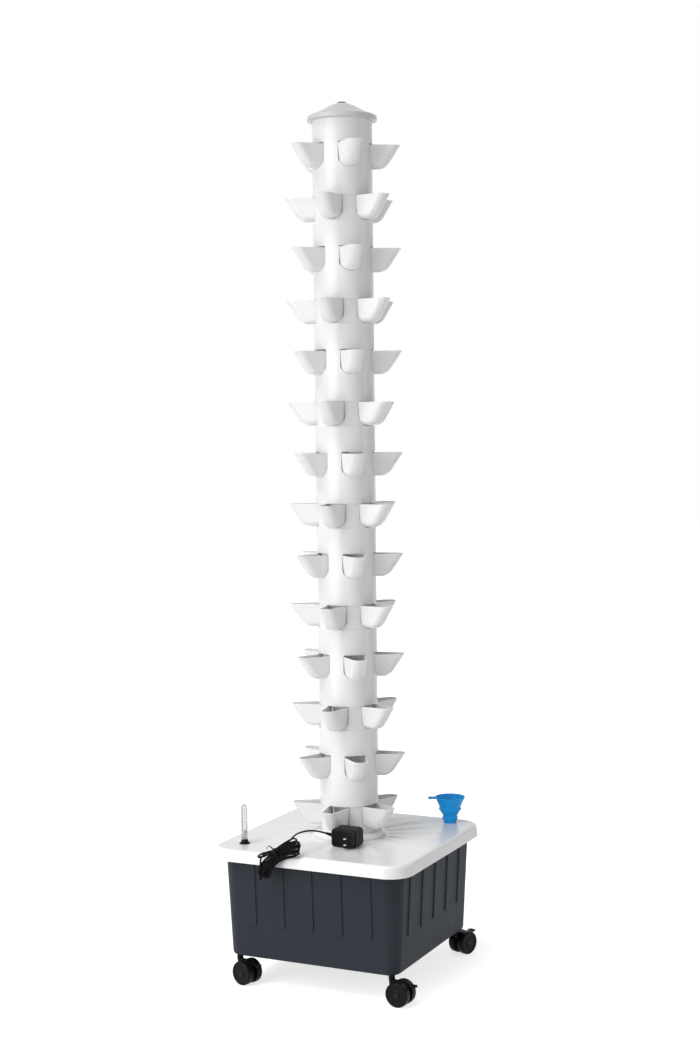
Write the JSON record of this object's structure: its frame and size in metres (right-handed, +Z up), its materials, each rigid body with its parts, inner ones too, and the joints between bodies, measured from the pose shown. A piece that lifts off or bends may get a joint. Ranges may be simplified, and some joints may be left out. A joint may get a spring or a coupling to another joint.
{
  "type": "hydroponic growing tower",
  "caption": "White vertical hydroponic tower with rings of tilted planting cups, on a square lidded nutrient tank with swivel casters, a float gauge, a filling funnel and a plug-in adapter.",
  "frame": {"origin": "on the floor, under the axis of the tower, which stands at the middle of the tank", "axes": "+Z up along the tower; -Y is the tank's front face, +X its right face"},
  "size_m": [0.4481, 0.4723, 1.813],
  "materials": {
    "tank_grey": "satin anthracite",
    "white_plastic": "semi-gloss white",
    "tower_white": "semi-gloss white",
    "cup_white": "semi-gloss white",
    "pipe_white": "matt white",
    "black_plastic": "satin black",
    "black_rubber": "matt black",
    "wheel_black": "satin black",
    "axle_steel": "zinc plated",
    "clear_plastic": "clear",
    "float_grey": "satin light grey",
    "funnel_blue": "satin blue silicone",
    "adapter_black": "satin black",
    "plated_brass": "nickel plated",
    "cord_black": "satin black"
  },
  "bodies": {
    "tank": {"tank_shell": "tank_grey", "caster_bushes": "black_plastic", "tank_lid": "white_plastic", "tower_collar": "white_plastic", "planter_modules": "tower_white", "cups_level_01": "cup_white", "cups_level_02": "cup_white", "cups_level_03": "cup_white", "cups_level_04": "cup_white", "cups_level_05": "cup_white", "cups_level_06": "cup_white", "cups_level_07": "cup_white", "cups_level_08": "cup_white", "cups_level_09": "cup_white", "cups_level_10": "cup_white", "cups_level_11": "cup_white", "cups_level_12": "cup_white", "cups_level_13": "cup_white", "cups_level_14": "cup_white", "drip_plate": "white_plastic", "riser_pipe": "pipe_white", "pump_body": "black_plastic", "pump_strainer": "black_plastic", "pump_coupling": "black_rubber", "gauge_grommet": "black_rubber", "gauge_tube": "clear_plastic", "gauge_scale": "black_plastic", "adapter_rear_shell": "adapter_black", "adapter_front_shell": "adapter_black", "adapter_pins": "plated_brass", "strain_relief": "cord_black", "adapter_cable": "cord_black", "cable_hank": "cord_black", "hank_tie": "cord_black", "cable_plug": "cord_black"},
    "cap": {"top_cap": "tower_white", "vent_plug": "black_rubber"},
    "float": {"gauge_float": "float_grey"},
    "funnel": {"fill_funnel": "funnel_blue"},
    "swivel_front_right": {"caster_yoke_front_right": "black_plastic", "caster_axle_front_right": "axle_steel"},
    "wheels_front_right": {"caster_wheels_front_right": "wheel_black"},
    "brake_front_right": {"caster_brake_front_right": "black_plastic"},
    "swivel_front_left": {"caster_yoke_front_left": "black_plastic", "caster_axle_front_left": "axle_steel"},
    "wheels_front_left": {"caster_wheels_front_left": "wheel_black"},
    "brake_front_left": {"caster_brake_front_left": "black_plastic"},
    "swivel_back_right": {"caster_yoke_back_right": "black_plastic", "caster_axle_back_right": "axle_steel"},
    "wheels_back_right": {"caster_wheels_back_right": "wheel_black"},
    "brake_back_right": {"caster_brake_back_right": "black_plastic"},
    "swivel_back_left": {"caster_yoke_back_left": "black_plastic", "caster_axle_back_left": "axle_steel"},
    "wheels_back_left": {"caster_wheels_back_left": "wheel_black"},
    "brake_back_left": {"caster_brake_back_left": "black_plastic"}
  },
  "joints": [
    {"name": "cap_lift", "type": "slide", "parent": "tank", "child": "cap", "axis": [0, 0, 1], "range_m": [0, 0.06]},
    {"name": "float_slide", "type": "slide", "parent": "tank", "child": "float", "axis": [0, 0, 1], "range_m": [-0.026, 0.048]},
    {"name": "funnel_lift", "type": "slide", "parent": "tank", "child": "funnel", "axis": [0, 0, 1], "range_m": [0, 0.05]},
    {"name": "swivel_front_right", "type": "hinge", "parent": "tank", "child": "swivel_front_right", "pos_m": [0.172, -0.172, 0.06], "axis": [0, 0, 1], "continuous": true},
    {"name": "wheel_spin_front_right", "type": "hinge", "parent": "swivel_front_right", "child": "wheels_front_right", "pos_m": [0.19189, -0.17409, 0.025], "axis": [0.1045, 0.9945, 0], "continuous": true},
    {"name": "brake_tilt_front_right", "type": "hinge", "parent": "swivel_front_right", "child": "brake_front_right", "pos_m": [0.19885, -0.17482, 0.043], "axis": [0.1045, 0.9945, 0], "range_deg": [0, 12]},
    {"name": "swivel_front_left", "type": "hinge", "parent": "tank", "child": "swivel_front_left", "pos_m": [-0.172, -0.172, 0.06], "axis": [0, 0, 1], "continuous": true},
    {"name": "wheel_spin_front_left", "type": "hinge", "parent": "swivel_front_left", "child": "wheels_front_left", "pos_m": [-0.15277, -0.17751, 0.025], "axis": [0.2756, 0.9613, 0], "continuous": true},
    {"name": "brake_tilt_front_left", "type": "hinge", "parent": "swivel_front_left", "child": "brake_front_left", "pos_m": [-0.14605, -0.17944, 0.043], "axis": [0.2756, 0.9613, 0], "range_deg": [0, 12]},
    {"name": "swivel_back_right", "type": "hinge", "parent": "tank", "child": "swivel_back_right", "pos_m": [0.172, 0.172, 0.06], "axis": [0, 0, 1], "continuous": true},
    {"name": "wheel_spin_back_right", "type": "hinge", "parent": "swivel_back_right", "child": "wheels_back_right", "pos_m": [0.17851, 0.19091, 0.025], "axis": [-0.9455, 0.3256, 0], "continuous": true},
    {"name": "brake_tilt_back_right", "type": "hinge", "parent": "swivel_back_right", "child": "brake_back_right", "pos_m": [0.18079, 0.19753, 0.043], "axis": [-0.9455, 0.3256, 0], "range_deg": [0, 12]},
    {"name": "swivel_back_left", "type": "hinge", "parent": "tank", "child": "swivel_back_left", "pos_m": [-0.172, 0.172, 0.06], "axis": [0, 0, 1], "continuous": true},
    {"name": "wheel_spin_back_left", "type": "hinge", "parent": "swivel_back_left", "child": "wheels_back_left", "pos_m": [-0.15668, 0.18486, 0.025], "axis": [-0.6428, 0.766, 0], "continuous": true},
    {"name": "brake_tilt_back_left", "type": "hinge", "parent": "swivel_back_left", "child": "brake_back_left", "pos_m": [-0.15132, 0.18935, 0.043], "axis": [-0.6428, 0.766, 0], "range_deg": [0, 12]}
  ]
}
